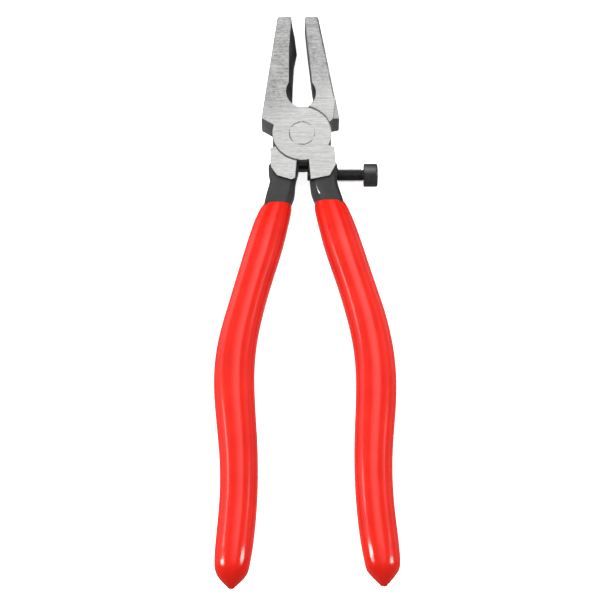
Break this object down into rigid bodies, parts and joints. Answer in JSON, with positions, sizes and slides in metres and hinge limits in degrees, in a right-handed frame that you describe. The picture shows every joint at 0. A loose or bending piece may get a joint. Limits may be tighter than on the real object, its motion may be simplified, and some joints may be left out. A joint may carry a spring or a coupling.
{
  "type": "running pliers",
  "caption": "Running pliers for stained glass: two lapped levers on a flush rivet, a convex and a flat jaw, a screw that stops the handles, and dipped grips.",
  "frame": {"origin": "on the pivot axis, at the ground lower face of the head", "axes": "+Y along the tool towards the jaw tips, +X towards the adjusting screw's head, +Z along the pivot, out of the upper face"},
  "size_m": [0.0623, 0.2098, 0.0106],
  "materials": {
    "forged_steel": "ground faces, black oxide elsewhere",
    "rivet_steel": "ground flush with the head",
    "black_screw": "black oxide",
    "dipped_grip": "glossy soft PVC"
  },
  "bodies": {
    "tapped_side": {"tapped_lever": "forged_steel", "pivot_rivet": "rivet_steel", "tapped_lever_grip": "dipped_grip"},
    "plain_side": {"plain_lever": "forged_steel", "plain_lever_grip": "dipped_grip"},
    "screw": {"adjusting_screw": "black_screw"}
  },
  "joints": [
    {"name": "jaw_pivot", "type": "hinge", "parent": "tapped_side", "child": "plain_side", "pos_m": [0, 0, 0], "axis": [0, 0, 1], "range_deg": [-45, 5.3]},
    {"name": "screw_travel", "type": "slide", "parent": "tapped_side", "child": "screw", "axis": [-1, 0, 0], "range_m": [-0.008, 0.0018]}
  ]
}
